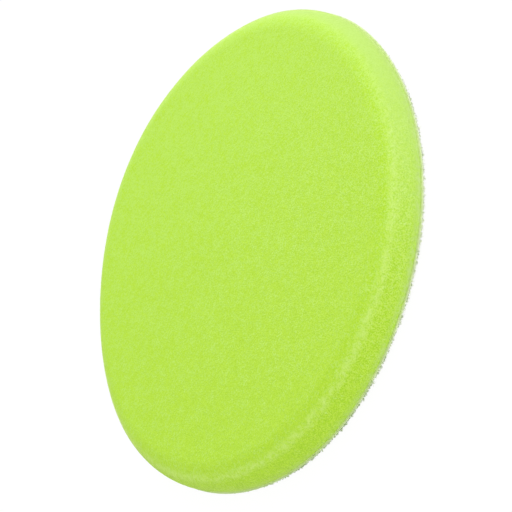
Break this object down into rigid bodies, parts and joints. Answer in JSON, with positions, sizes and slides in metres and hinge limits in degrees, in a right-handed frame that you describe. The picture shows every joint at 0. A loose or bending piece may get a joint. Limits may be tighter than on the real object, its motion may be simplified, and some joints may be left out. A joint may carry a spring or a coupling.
{
  "type": "polishing pad",
  "caption": "Round flat polishing pad: a lime open-cell foam disc with a wide rounded shoulder, laminated to a loop fabric back for a hook plate.",
  "frame": {"origin": "centre of the loop side, which the pad lies on", "axes": "+Z out of the working face along the pad's axis; X and Y lie in the plane of the loops and the pad is the same all round"},
  "size_m": [0.15, 0.15, 0.012],
  "materials": {
    "foam": "matte",
    "adhesive": "satin",
    "knit_ground": "matte",
    "loop_yarn": "matte"
  },
  "bodies": {
    "root": {"foam_disc": "foam", "bond_film": "adhesive", "loop_ground": "knit_ground", "loop_pile": "loop_yarn"}
  },
  "joints": []
}
